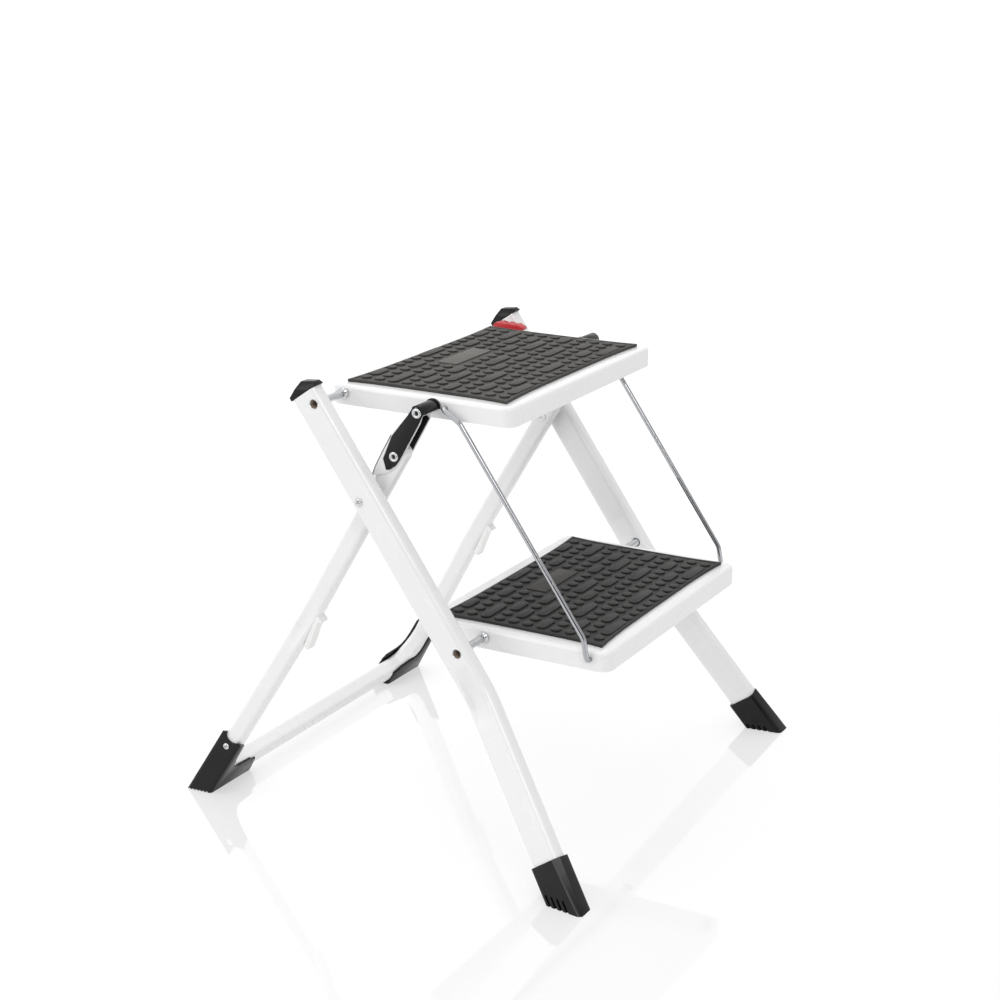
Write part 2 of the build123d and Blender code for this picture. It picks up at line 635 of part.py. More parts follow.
# ---- build --------------------------------------------------------------------------------------
def build():
    os.makedirs("parts", exist_ok=True)
    both_sides(front_leg(), "front_leg")
    both_sides(front_leg_cap(), "front_leg_cap")
    both_sides(front_foot(), "front_foot")
    both_sides(main_pivot(), "main_pivot")
    both_sides(pivot_spacer(), "pivot_spacer")
    finish(rear_frame_tube(), "rear_frame_tube")
    both_sides(rear_foot(), "rear_foot")
    both_sides(rear_foot_screw(), "rear_foot_screw")
    both_sides(transport_clip(), "transport_clip")
    both_sides(rear_link_pin(), "rear_link_pin")
    for name, turning_rod, top, back in (
        ("upper", UPPER_ROD, UPPER_TOP, UPPER_BACK),
        ("lower", LOWER_ROD, LOWER_TOP, LOWER_BACK),
    ):
        finish(rod(turning_rod), f"{name}_rod")
        finish(rod_collars(turning_rod), f"{name}_rod_collars")
        finish(tread_pan(top, back, turning_rod), f"{name}_tread_pan")
        finish(tread_mat(top, back, turning_rod), f"{name}_tread_mat")
        finish(tread_bushes(turning_rod), f"{name}_tread_bushes")
    both_sides(wire(), "wire")
    both_sides(wire_retainers(), "wire_retainers")
    both_sides(link_channel(), "link_channel")
    both_sides(link_cover(), "link_cover")
    both_sides(link_pin(), "link_pin")
    both_sides(link_spacers(), "link_spacers")
    finish(safety_latch(), "safety_latch")
    finish(latch_spring(), "latch_spring")


build()
print("main pivot", yz(pivot_point), "link pin on the rear leg", yz(middle_point))
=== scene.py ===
"""Looks of the folding two-tread step stool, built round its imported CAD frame.

Shapes are drawn in millimetres, with +Z up and the front facing -Y, and are turned to metres when a
piece is finished. A left-hand shape is drawn first, and its mirror image serves the right-hand side.
"""

import json
import math

import bmesh
import bpy
from mathutils import Matrix, Vector

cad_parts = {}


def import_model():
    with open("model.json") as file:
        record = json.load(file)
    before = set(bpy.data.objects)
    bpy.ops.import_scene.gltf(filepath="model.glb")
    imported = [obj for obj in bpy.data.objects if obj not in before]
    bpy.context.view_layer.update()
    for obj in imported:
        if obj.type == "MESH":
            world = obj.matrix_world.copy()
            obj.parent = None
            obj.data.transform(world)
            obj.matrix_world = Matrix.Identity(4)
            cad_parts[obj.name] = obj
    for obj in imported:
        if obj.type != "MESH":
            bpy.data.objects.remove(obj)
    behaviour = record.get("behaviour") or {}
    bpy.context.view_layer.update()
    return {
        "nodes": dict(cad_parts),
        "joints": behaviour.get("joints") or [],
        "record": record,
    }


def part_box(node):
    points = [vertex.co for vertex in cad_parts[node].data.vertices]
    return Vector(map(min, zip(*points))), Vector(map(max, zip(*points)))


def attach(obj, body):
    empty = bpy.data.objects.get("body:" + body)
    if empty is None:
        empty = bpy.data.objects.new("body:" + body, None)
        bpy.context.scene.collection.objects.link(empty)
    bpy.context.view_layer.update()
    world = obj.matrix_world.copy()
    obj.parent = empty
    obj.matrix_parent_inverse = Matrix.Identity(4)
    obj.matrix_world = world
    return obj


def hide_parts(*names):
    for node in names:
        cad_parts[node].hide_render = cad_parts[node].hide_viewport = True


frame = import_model()

# ---- places from the frame, in millimetres ------------------------------------------------------
MM = 0.001

record = frame["record"]
slot_of = {part["node"]: part["material_slot"] for part in record["subparts"]}
body_of = {node: body for body, nodes in record["behaviour"]["bodies"].items() for node in nodes}
turning_point = {joint["name"]: Vector(joint["pos_m"]) / MM for joint in frame["joints"]}

upper_rod = turning_point["upper_tread_turn"]
lower_rod = turning_point["lower_tread_turn"]
main_pivot = turning_point["fold"]
leg_pin = turning_point["link_left_turn"]


def node_box(node):
    """Lowest and highest corner of a CAD node, in millimetres."""
    low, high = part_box(node)
    return low / MM, high / MM


def node_middle(node):
    """Middle of a CAD node's box."""
    low, high = node_box(node)
    return (low + high) / 2


ACROSS = Vector((1, 0, 0))
UP = Vector((0, 0, 1))
BACK = Vector((0, 1, 0))


def forwards_of(downwards):
    """Square to a leg's direction in its side view, to the leg's front."""
    return Vector((0, downwards.z, -downwards.y))


# ---- driving dimensions -------------------------------------------------------------------------
LEG_WIDTH = 18.0
LEG_DEPTH = 30.0
LEG_CORNER = 6.0
LEG_PLANE = 192.4           # centre plane of a front leg's straight part
LEG_SET_BACK = 6.0          # its axis, behind the line through the rods
LEG_TOP = 13.7              # above the upper rod
LEG_BEND = 316.5            # below the upper rod
LEG_BEND_RADIUS = 130.0
LEG_SPLAY = math.radians(12.5)
LEG_END_HEIGHT = 15.0

REAR_WIDTH = 15.0
REAR_DEPTH = 20.0
REAR_CORNER = 5.0
REAR_PLANE = 169.2
REAR_ANGLE = math.radians(59.55)
REAR_BEND = 176.0           # below the main pivot
REAR_BEND_RADIUS = 90.0
REAR_SPLAY = math.radians(7.0)
REAR_CORNER_RADIUS = 38.0
CROSS_TUBE_HEIGHT = 16.0

down_leg = (lower_rod - upper_rod).normalized()
leg_front = forwards_of(down_leg)
leg_top = upper_rod - leg_front * LEG_SET_BACK - ACROSS * LEG_PLANE - down_leg * LEG_TOP
leg_bend = leg_top + down_leg * (LEG_TOP + LEG_BEND)
down_foot = down_leg * math.cos(LEG_SPLAY) - ACROSS * math.sin(LEG_SPLAY)
across_foot = ACROSS * math.cos(LEG_SPLAY) + down_leg * math.sin(LEG_SPLAY)

down_rear = Vector((0, math.cos(REAR_ANGLE), -math.sin(REAR_ANGLE)))
rear_front = forwards_of(down_rear)
down_shoe = down_rear * math.cos(REAR_SPLAY) - ACROSS * math.sin(REAR_SPLAY)
across_shoe = ACROSS * math.cos(REAR_SPLAY) + down_rear * math.sin(REAR_SPLAY)
rear_bend = main_pivot + down_rear * REAR_BEND - ACROSS * REAR_PLANE
rear_corner = rear_bend + down_shoe * ((CROSS_TUBE_HEIGHT - rear_bend.z) / down_shoe.z)

tread_pin = node_middle("link_pin_left")
tread_pin.x = 0
down_link = (leg_pin - tread_pin).normalized()
link_back = Vector((0, -down_link.z, down_link.y))


BEYOND = 90.0                # how far cutting tools and trimmed stock reach past what they shape

# ---- drawing tools ------------------------------------------------------------------------------
def placed(origin, x_axis, y_axis):
    """Matrix from a drawing's x, y and height to the stool."""
    turn = Matrix((x_axis, y_axis, x_axis.cross(y_axis))).transposed()
    return Matrix.Translation(origin) @ turn.to_4x4()


SIDE_VIEW = placed(Vector(), BACK, UP)      # drawn (y, z), height along +X
LINK_VIEW = placed(tread_pin, down_link, link_back)


def across_at(centre):
    """Drawing place for a turned part that lies across the stool, with its height along +X."""
    return placed(Vector((0, centre.y, centre.z)), BACK, UP)


def rounded(bm, edges, radius, segments=2):
    """Rounds edges with a bevel of even width."""
    bmesh.ops.bevel(bm, geom=edges, offset=radius, segments=segments, profile=0.5,
                    affect="EDGES", clamp_overlap=True, material=-1)


def plate(outline, low, high, place, edge=0.0, corner=0.0):
    """A slab with a polygon outline, rounded at its corners and round both faces."""
    bm = bmesh.new()
    face = bm.faces.new([bm.verts.new((x, y, low)) for x, y in outline])
    if corner:
        bmesh.ops.bevel(bm, geom=list(bm.verts), offset=corner, segments=5, profile=0.5,
                        affect="VERTICES", clamp_overlap=True, material=-1)
        face = bm.faces[:][0]
    lifted = bmesh.ops.extrude_face_region(bm, geom=[face])["geom"]
    top = [item for item in lifted if isinstance(item, bmesh.types.BMVert)]
    bmesh.ops.translate(bm, verts=top, vec=(0, 0, high - low))
    bmesh.ops.recalc_face_normals(bm, faces=bm.faces)
    if edge:
        level = [e for e in bm.edges if abs(e.verts[0].co.z - e.verts[1].co.z) < edge / 100]
        rounded(bm, level, edge)
    bmesh.ops.transform(bm, matrix=place, verts=bm.verts)
    bmesh.ops.recalc_face_normals(bm, faces=bm.faces)
    return bm


def turned(profile, place, steps=40):
    """A turned part: its profile of (radius, height) points is spun about the drawing's height axis."""
    bm = bmesh.new()
    points = [bm.verts.new((radius, 0, height)) for radius, height in profile]
    lines = [bm.edges.new(pair) for pair in zip(points, points[1:] + points[:1])]
    bmesh.ops.spin(bm, geom=points + lines, axis=(0, 0, 1), cent=(0, 0, 0), angle=math.tau,
                   steps=steps, use_merge=True)
    bmesh.ops.remove_doubles(bm, verts=bm.verts, dist=0.001)
    bmesh.ops.transform(bm, matrix=place, verts=bm.verts)
    bmesh.ops.recalc_face_normals(bm, faces=bm.faces)
    return bm


def joined(*shapes):
    """Several shapes as one."""
    whole = bmesh.new()
    for shape in shapes:
        mesh = bpy.data.meshes.new("part")
        shape.to_mesh(mesh)
        shape.free()
        whole.from_mesh(mesh)
        bpy.data.meshes.remove(mesh)
    return whole


def temporary(bm):
    """An object that holds a shape while another is cut with it."""
    mesh = bpy.data.meshes.new("temporary")
    bm.to_mesh(mesh)
    bm.free()
    thing = bpy.data.objects.new("temporary", mesh)
    bpy.context.scene.collection.objects.link(thing)
    return thing


def cut(bm, tool):
    """The shape with the tool's shape taken out of it."""
    body, knife = temporary(bm), temporary(tool)
    boolean = body.modifiers.new("cut", "BOOLEAN")
    boolean.operation = "DIFFERENCE"
    boolean.solver = "EXACT"
    boolean.object = knife
    bpy.context.view_layer.update()
    graph = bpy.context.evaluated_depsgraph_get()
    mesh = bpy.data.meshes.new_from_object(body.evaluated_get(graph))
    result = bmesh.new()
    result.from_mesh(mesh)
    for thing in (body, knife):
        old = thing.data
        bpy.data.objects.remove(thing)
        bpy.data.meshes.remove(old)
    bpy.data.meshes.remove(mesh)
    return result


def trimmed(bm, point, outwards):
    """A solid cut off flat at a plane, and closed there."""
    bmesh.ops.bisect_plane(bm, geom=bm.verts[:] + bm.edges[:] + bm.faces[:], dist=0.0001,
                           plane_co=point, plane_no=outwards, clear_outer=True)
    bmesh.ops.holes_fill(bm, edges=[e for e in bm.edges if e.is_boundary], sides=0)
    return bm


def mirrored(bm):
    """The same shape for the other side."""
    other = bm.copy()
    bmesh.ops.scale(other, vec=(-1, 1, 1), verts=other.verts)
    bmesh.ops.reverse_faces(other, faces=other.faces)
    return other


def show(bm, name, nodes, crease=35.0, finish=None, slot=None):
    """Makes a shape a piece that stands for CAD nodes, on their body and in their finish."""
    bmesh.ops.scale(bm, vec=(MM, MM, MM), verts=bm.verts)
    mesh = bpy.data.meshes.new(name)
    bm.to_mesh(mesh)
    bm.free()
    mesh.shade_smooth()
    mesh.set_sharp_from_angle(angle=math.radians(crease))
    slot = slot or slot_of[nodes[0]]
    mesh.materials.append(finish or finishes[slot])
    piece = bpy.data.objects.new(name, mesh)
    bpy.context.scene.collection.objects.link(piece)
    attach(piece, body_of[nodes[0]])
    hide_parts(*nodes)
    return piece


def show_both(bm, name, node, crease=35.0):
    """The same for a left-hand shape and its mirror image."""
    other = mirrored(bm)
    show(bm, f"{name}_left", [f"{node}_left"], crease)
    show(other, f"{name}_right", [f"{node}_right"], crease)


# ---- materials ----------------------------------------------------------------------------------
def linear(code):
    """An sRGB hex colour as linear RGBA."""
    channels = [int(code[i:i + 2], 16) / 255 for i in (1, 3, 5)]
    return [c / 12.92 if c <= 0.04045 else ((c + 0.055) / 1.055) ** 2.4 for c in channels] + [1.0]


def add(tree, kind, settings, **inputs):
    """Adds a node with its settings and inputs; an input that is a socket is linked."""
    node = tree.nodes.new(kind)
    for name, value in settings.items():
        setattr(node, name, value)
    for name, value in inputs.items():
        socket = node.inputs[int(name[1:])] if name[0] == "_" else node.inputs[name.replace("_", " ")]
        if isinstance(value, bpy.types.NodeSocket):
            tree.links.new(value, socket)
        else:
            socket.default_value = value
    return node


def new_material(name):
    """An empty material with its principled shader and its place on the piece."""
    material = bpy.data.materials.new(name)
    material.use_nodes = True
    tree = material.node_tree
    shader = tree.nodes["Principled BSDF"]
    place = tree.nodes.new("ShaderNodeTexCoord").outputs["Object"]
    return material, tree, shader, place


def per_millimetre(size):
    """Noise scale whose grains are this many millimetres wide."""
    return 1 / (size * MM)


def powder_coat():
    """White polyester powder coat on steel, sprayed and baked: glossy, with a faint orange peel."""
    material, tree, shader, place = new_material("powder_coated_steel_white")
    peel = add(tree, "ShaderNodeTexNoise", {}, Vector=place, Scale=per_millimetre(1.6), Detail=2.0)
    cloud = add(tree, "ShaderNodeTexNoise", {}, Vector=place, Scale=per_millimetre(60.0), Detail=2.0)
    tone = add(tree, "ShaderNodeMix", {"data_type": "RGBA"}, _0=cloud.outputs["Fac"],
               _6=linear("#ebebeb"), _7=linear("#f0f0f0"))
    tree.links.new(tone.outputs[2], shader.inputs["Base Color"])
    gloss = add(tree, "ShaderNodeMapRange", {}, Value=cloud.outputs["Fac"], To_Min=0.22, To_Max=0.32)
    tree.links.new(gloss.outputs[0], shader.inputs["Roughness"])
    bump = add(tree, "ShaderNodeBump", {}, Height=peel.outputs["Fac"], Strength=0.12, Distance=0.05 * MM)
    tree.links.new(bump.outputs[0], shader.inputs["Normal"])
    shader.inputs["IOR"].default_value = 1.5
    shader.inputs["Coat Weight"].default_value = 0.5
    shader.inputs["Coat Roughness"].default_value = 0.08
    return material


def mat_rubber(name, dark, light):
    """Moulded SBR rubber: matt black-brown with a fine grain from the mould and dust in its tone."""
    material, tree, shader, place = new_material(name)
    grain = add(tree, "ShaderNodeTexNoise", {}, Vector=place, Scale=per_millimetre(0.9), Detail=3.0)
    dust = add(tree, "ShaderNodeTexNoise", {}, Vector=place, Scale=per_millimetre(22.0), Detail=4.0)
    mixed = add(tree, "ShaderNodeMath", {"operation": "MULTIPLY_ADD"}, _0=grain.outputs["Fac"],
                _1=0.35, _2=dust.outputs["Fac"])
    tone = add(tree, "ShaderNodeValToRGB", {}, Fac=mixed.outputs[0])
    tone.color_ramp.elements[0].position = 0.45
    tone.color_ramp.elements[0].color = linear(dark)
    tone.color_ramp.elements[1].position = 0.9
    tone.color_ramp.elements[1].color = linear(light)
    tree.links.new(tone.outputs[0], shader.inputs["Base Color"])
    rough = add(tree, "ShaderNodeMapRange", {}, Value=grain.outputs["Fac"], To_Min=0.5, To_Max=0.68)
    tree.links.new(rough.outputs[0], shader.inputs["Roughness"])
    bump = add(tree, "ShaderNodeBump", {}, Height=grain.outputs["Fac"], Strength=0.5,
               Distance=0.12 * MM)
    tree.links.new(bump.outputs[0], shader.inputs["Normal"])
    shader.inputs["IOR"].default_value = 1.5
    return material


def moulded_plastic(name, dark, light, rough_from, rough_to, gloss=0.5, texture=0.7):
    """Injection-moulded plastic: an even colour with the mould's fine texture and soft gloss."""
    material, tree, shader, place = new_material(name)
    grain = add(tree, "ShaderNodeTexNoise", {}, Vector=place, Scale=per_millimetre(texture), Detail=2.0)
    flow = add(tree, "ShaderNodeTexNoise", {}, Vector=place, Scale=per_millimetre(14.0), Detail=3.0)
    tone = add(tree, "ShaderNodeMix", {"data_type": "RGBA"}, _0=flow.outputs["Fac"],
               _6=linear(dark), _7=linear(light))
    tree.links.new(tone.outputs[2], shader.inputs["Base Color"])
    rough = add(tree, "ShaderNodeMapRange", {}, Value=flow.outputs["Fac"],
                To_Min=rough_from, To_Max=rough_to)
    tree.links.new(rough.outputs[0], shader.inputs["Roughness"])
    bump = add(tree, "ShaderNodeBump", {}, Height=grain.outputs["Fac"], Strength=0.25,
               Distance=0.04 * MM)
    tree.links.new(bump.outputs[0], shader.inputs["Normal"])
    shader.inputs["IOR"].default_value = 1.49
    shader.inputs["Specular IOR Level"].default_value = gloss
    return material


def plated_steel(name, colour, rough_from, rough_to, streak):
    """Plated steel: bright metal whose gloss changes along fine marks from drawing and handling."""
    material, tree, shader, place = new_material(name)
    stretched = add(tree, "ShaderNodeMapping", {}, Vector=place, Scale=streak)
    marks = add(tree, "ShaderNodeTexNoise", {}, Vector=stretched.outputs[0], Scale=per_millimetre(0.6),
                Detail=3.0)
    rough = add(tree, "ShaderNodeMapRange", {}, Value=marks.outputs["Fac"],
                To_Min=rough_from, To_Max=rough_to)
    tree.links.new(rough.outputs[0], shader.inputs["Roughness"])
    bump = add(tree, "ShaderNodeBump", {}, Height=marks.outputs["Fac"], Strength=0.1,
               Distance=0.008 * MM)
    tree.links.new(bump.outputs[0], shader.inputs["Normal"])
    shader.inputs["Base Color"].default_value = linear(colour)
    shader.inputs["Metallic"].default_value = 1.0
    return material


finishes = {
    "white_steel": powder_coat(),
    "upper_mat_rubber": mat_rubber("moulded_rubber_upper", "#2e2c2a", "#3d3b37"),
    # The lower mat's rubber is the upper mat's rubber painted darker: painted shade under the upper tread.
    "lower_mat_rubber": mat_rubber("moulded_rubber_lower_painted_shade", "#1b1a19", "#262523"),
    "black_plastic": moulded_plastic("moulded_polypropylene_black", "#070708", "#0d0d0d", 0.2, 0.3, 0.28),
    "white_plastic": moulded_plastic("moulded_nylon_white", "#f0f0ef", "#f4f4f3", 0.35, 0.5),
    "red_plastic": moulded_plastic("moulded_abs_red", "#b3141f", "#c41b26", 0.22, 0.32),
    "zinc_steel": plated_steel("zinc_plated_steel", "#cdced0", 0.04, 0.12, (1.0, 1.0, 1.0)),
    "chrome_wire": plated_steel("nickel_chromed_wire", "#b0b1b4", 0.02, 0.07, (1.0, 1.0, 0.08)),
}


# The raised plates are the mats' rubber painted lighter, a painted sheen off their flat tops; the lower
# plate is also darker, with painted shade under the upper tread.
plate_painted_sheen = {
    "upper": mat_rubber("rubber_plate_painted_sheen_upper", "#55534e", "#625f5a"),
    "lower": mat_rubber("rubber_plate_painted_sheen_and_shade_lower", "#343330", "#3d3b38"),
}
# Inside the rod ends: dull raw steel, partly its own colour and partly painted shade of the deep bore.
bore_raw_steel_and_painted_shade = moulded_plastic("raw_steel_bore_painted_shade", "#9a8a7c", "#b5a595", 0.5, 0.7, 0.3)


def finish_cad_nodes():
    """Gives each CAD node the finish of its slot."""
    for name, node in frame["nodes"].items():
        node.data.materials.clear()
        node.data.materials.append(finishes[slot_of[name]])


# ---- mats ---------------------------------------------------------------------------------------
STUD_ROWS = (               # each row's studs from left to right, as numbers of places
    (1, 2, 1, 1, 1, 1, 3, 1, 1, 1, 1, 2, 1),
    (1, 1, 1, 1, 2, 1, 1, 1, 1, 1, 2, 1, 1, 1, 1),
    (3, 1, 1, 1, 5, 1, 1, 1, 3),
    (1, 1, 2, 1, 1, 5, 1, 1, 2, 1, 1),
    (1, 2, 1, 2, 1, 1, 1, 1, 1, 2, 1, 2, 1),
    (1, 1, 3, 1, 1, 3, 1, 1, 3, 1, 1),
    (2, 1, 1, 1, 1, 2, 1, 2, 1, 1, 1, 1, 2),
    (1, 1, 1, 3, 1, 1, 1, 1, 1, 3, 1, 1, 1),
    (1, 2, 1, 1, 1, 1, 1, 1, 1, 1, 1, 1, 1, 2, 1),
    (1, 1, 1, 2, 1, 1, 3, 1, 1, 2, 1, 1, 1),
    (1, 3, 1, 1, 1, 1, 1, 1, 1, 1, 1, 3, 1),
)
MAT_RIM = 2.2               # width of the raised lip
MAT_RIM_SLOPE = 0.5         # width of its inner slope
MAT_ROUNDING = 0.6
MAT_SAG = 4.0               # its sides pull in between the corners
MAT_FIELD_DROP = 0.7        # the field lies this far under the lip
STUD_DIAMETER = 10.4
STUD_RISE = 1.5             # above the field
STUD_SINK = 0.5             # each stud starts this far inside the field
STUD_PITCH = 15.3
STUD_ROUNDING = 0.45
PLATE_PLACES = 5            # the plate takes this many places in two rows
PLATE_ROW = 2.5             # its middle, counted in rows from the rear one
PLATE_LENGTH = 70.0
PLATE_DEPTH = 22.0
PLATE_CORNER = 1.5
PLATE_RISE = 1.2


def stud(length, width, low, high, place, corner=None):
    """A flat-topped stud with a rounded rim and rounded ends."""
    x, y = length / 2, width / 2
    outline = [(-x, -y), (x, -y), (x, y), (-x, y)]
    return plate(outline, low, high, place, edge=STUD_ROUNDING, corner=corner or width / 2 - 0.01)


def mat_outline(x, y):
    """Rectangle whose sides pull in between its corners."""
    share = [step / 8 - 1 for step in range(16)]
    pull = [MAT_SAG * (1 - t ** 4) for t in share]
    points = [(x * t, -y + p) for t, p in zip(share, pull)]
    points += [(x - p, y * t) for t, p in zip(share, pull)]
    points += [(-x * t, y - p) for t, p in zip(share, pull)]
    points += [(-x + p, -y * t) for t, p in zip(share, pull)]
    return points


def mat_frame(node):
    """Middle of a mat, its drawing place, half its width and depth, and the height of its field."""
    low, high = node_box(node)
    middle = (low + high) / 2
    return middle, (high.x - low.x) / 2, (high.y - low.y) / 2, high.z - MAT_FIELD_DROP


def row_offset(number):
    """How far behind the mat's middle a row lies, counted from the rear row."""
    return ((len(STUD_ROWS) - 1) / 2 - number) * STUD_PITCH


def studded_mat(node):
    """Mat with a raised lip and rows of round and long studs, leaving room for the plain plate."""
    low, high = node_box(node)
    middle, x, y, field = mat_frame(node)
    place = placed(Vector((middle.x, middle.y, 0)), ACROSS, BACK)
    base = plate(mat_outline(x, y), low.z, high.z, place, edge=MAT_ROUNDING)
    top = max(base.faces, key=lambda f: f.calc_center_median().z)
    bmesh.ops.inset_region(base, faces=[top], thickness=MAT_RIM, use_even_offset=True)
    bmesh.ops.inset_region(base, faces=[top], thickness=MAT_RIM_SLOPE, depth=-MAT_FIELD_DROP,
                           use_even_offset=True)
    studs = []
    for number, row in enumerate(STUD_ROWS):
        start = -sum(row) / 2
        for places in row:
            stud_x = middle.x + (start + places / 2) * STUD_PITCH
            centre = Vector((stud_x, middle.y + row_offset(number), 0))
            start += places
            if places < PLATE_PLACES:
                length = (places - 1) * STUD_PITCH + STUD_DIAMETER
                studs.append(stud(length, STUD_DIAMETER, field - STUD_SINK, field + STUD_RISE,
                                  placed(centre, ACROSS, BACK)))
    return joined(base, *studs)


def mat_plate(node):
    """Plain raised plate between the studs."""
    middle, _, _, field = mat_frame(node)
    place = placed(Vector((middle.x, middle.y + row_offset(PLATE_ROW), 0)), ACROSS, BACK)
    return stud(PLATE_LENGTH, PLATE_DEPTH, field - STUD_SINK, field + PLATE_RISE, place,
                corner=PLATE_CORNER)


# ---- front frame --------------------------------------------------------------------------------
DENT_DEPTH = 4.6            # the outer wall is pressed in where the leg bends outwards
DENT_ABOVE = 34.0           # its reach above the middle of the bend
DENT_BELOW = 26.0
DENT_HALF_WIDTH = 10.5
DENT_SLANT = 3.0            # its upper end lies nearer the front, and its lower end nearer the rear
DENT_ALONG_POWER = 0.8      # how full the hollow is along the leg, and across it
DENT_ASIDE_POWER = 0.9
BEND_STEPS = 14
FINE_RUN = 30.0             # drawn in short steps on each side of the bend
FINE_STEPS = 10


def drawn_out(bm, loop, moves):
    """Extrudes an open loop of edges step by step, and gives its last place."""
    for move in moves:
        geometry = bmesh.ops.extrude_edge_only(bm, edges=loop)["geom"]
        loop = [item for item in geometry if isinstance(item, bmesh.types.BMEdge)]
        loop = [edge for edge in loop if edge.is_boundary]
        points = {vertex for edge in loop for vertex in edge.verts}
        bmesh.ops.translate(bm, verts=list(points), vec=move)
    return loop


def turned_on(bm, loop, axis, centre, angle):
    """Bends an open loop of edges round a centre, and gives its last place."""
    points = list({vertex for edge in loop for vertex in edge.verts})
    bend = bmesh.ops.spin(bm, geom=points + loop, axis=axis, cent=centre, angle=angle, steps=BEND_STEPS)
    return [item for item in bend["geom_last"] if isinstance(item, bmesh.types.BMEdge)]


def tube_section(width, depth, corner, place):
    """Rounded rectangle of edges, with more points along its long sides."""
    bm = bmesh.new()
    x, y = width / 2, depth / 2
    bm.faces.new([bm.verts.new((a, b, 0)) for a, b in ((-x, -y), (x, -y), (x, y), (-x, y))])
    bmesh.ops.bevel(bm, geom=bm.verts[:], offset=corner, segments=6, profile=0.5,
                    affect="VERTICES", clamp_overlap=True, material=-1)
    bmesh.ops.delete(bm, geom=bm.faces[:], context="FACES_ONLY")
    bmesh.ops.subdivide_edges(bm, edges=[e for e in bm.edges if e.calc_length() > corner], cuts=11)
    bmesh.ops.transform(bm, matrix=place, verts=bm.verts)
    return bm


def fine_steps(direction):
    """The short moves beside a bend."""
    return [direction * FINE_RUN / FINE_STEPS] * FINE_STEPS


def bent_leg():
    """Flattened tube, straight at its top and then bent outwards."""
    reach = LEG_BEND_RADIUS * math.tan(LEG_SPLAY / 2)
    bm = tube_section(LEG_WIDTH, LEG_DEPTH, LEG_CORNER, placed(leg_top, ACROSS, leg_front))
    run = LEG_TOP + LEG_BEND - reach
    loop = drawn_out(bm, bm.edges[:], [down_leg * (run - FINE_RUN)] + fine_steps(down_leg))
    centre = leg_bend - down_leg * reach - ACROSS * LEG_BEND_RADIUS
    loop = turned_on(bm, loop, -leg_front, centre, LEG_SPLAY)
    end = (LEG_END_HEIGHT - leg_bend.z) / down_foot.z - reach
    drawn_out(bm, loop, fine_steps(down_foot) + [down_foot * (end - FINE_RUN)])
    bmesh.ops.holes_fill(bm, edges=[e for e in bm.edges if e.is_boundary], sides=0)
    bmesh.ops.recalc_face_normals(bm, faces=bm.faces)
    return bm


def pressed_in(bm, middle, downwards, forwards, inwards, half_width, depth):
    """Presses the outer wall of a tube in with a smooth slanted hollow."""
    for vertex in bm.verts:
        offset = vertex.co - middle
        along = offset.dot(downwards)
        along /= DENT_BELOW if along > 0 else DENT_ABOVE
        aside = (offset.dot(forwards) + along * DENT_SLANT) / half_width
        if offset.dot(inwards) < 0 and abs(along) < 1 and abs(aside) < 1:
            bowl = (1 - along ** 2) ** DENT_ALONG_POWER * (1 - aside ** 2) ** DENT_ASIDE_POWER
            vertex.co += inwards * depth * bowl


def front_leg():
    """Bent flattened tube with its outer wall pressed in at the bend and its two rod holes cut."""
    bm = bent_leg()
    pressed_in(bm, leg_bend, down_leg, leg_front, ACROSS, DENT_HALF_WIDTH, DENT_DEPTH)
    outer, inner = -LEG_PLANE - LEG_WIDTH, -LEG_PLANE + LEG_WIDTH
    drills = []
    for centre in (upper_rod, lower_rod):
        place = across_at(centre)
        drills.append(turned([(0, outer), (ROD_FLARE, outer), (ROD_FLARE, inner), (0, inner)], place))
    return cut(bm, joined(*drills))


ROD_RADIUS = 4.0
ROD_WALL = 0.8
ROD_FLARE = 4.9
ROD_FLARE_LENGTH = 2.5
ROD_LIP = 0.4               # its flared end stands this far out of the leg
BORE_LENGTH = 30.0          # how far in the dark bore of a rod's end is drawn


def rod(centre):
    """Steel rod whose two hollow ends are flared out in the legs' outer walls."""
    end = LEG_PLANE + LEG_WIDTH / 2
    bore = ROD_RADIUS - ROD_WALL
    neck = end - ROD_FLARE_LENGTH
    place = across_at(centre)
    half = [
        (ROD_RADIUS, neck - 2), (ROD_FLARE, neck), (ROD_FLARE, end + 0.1), (ROD_FLARE - 0.3, end + ROD_LIP),
        (ROD_FLARE - 0.8, end), (bore + 0.6, neck + 0.8), (bore + 0.4, neck - BORE_LENGTH),
    ]
    other = [(radius, -height) for radius, height in reversed(half)]
    return turned(half + other, place)


def rod_bores(centre):
    """The raw steel insides of a rod's two open ends, darkened with painted shade and closed by a
    painted-shade floor.
    """
    neck = LEG_PLANE + LEG_WIDTH / 2 - ROD_FLARE_LENGTH
    bottom = neck - BORE_LENGTH + 1
    outside = ROD_RADIUS - ROD_WALL + 0.35
    inside = outside - 0.15
    sleeve = [
        (outside, neck + 1.6), (outside, bottom), (0, bottom),
        (0, bottom + 1), (inside, bottom + 1), (inside, neck + 1.6),
    ]
    right = turned(sleeve, across_at(centre))
    return joined(mirrored(right), right)


def rod_collars(node, centre):
    """Two bright collars with rounded rims, beside the tread."""
    low, high = node_box(node)
    inner = node_box("upper_tread_pan")[1].x + 0.3
    radius = (high.y - low.y) / 2
    place = across_at(centre)
    ring = [
        (ROD_RADIUS, inner), (radius - 0.6, inner), (radius, inner + 0.5), (radius, high.x - 0.9),
        (radius - 0.8, high.x), (ROD_RADIUS + 0.9, high.x), (ROD_RADIUS, high.x + 0.8),
    ]
    right = turned(ring, place)
    return joined(mirrored(right), right)


CAP_LIP = 0.25              # it stands this far out past the leg
CAP_RIM = 4.0               # its side wall, measured up the leg at the rear
CAP_RISE = 4.5              # the top edge's front end, above the wall's front low corner
CAP_HIP = 9.0               # the sloping sides meet the side walls this far under the top edge
CAP_HIP_SLOPE = 2.0
CAP_ROUNDING = 0.8


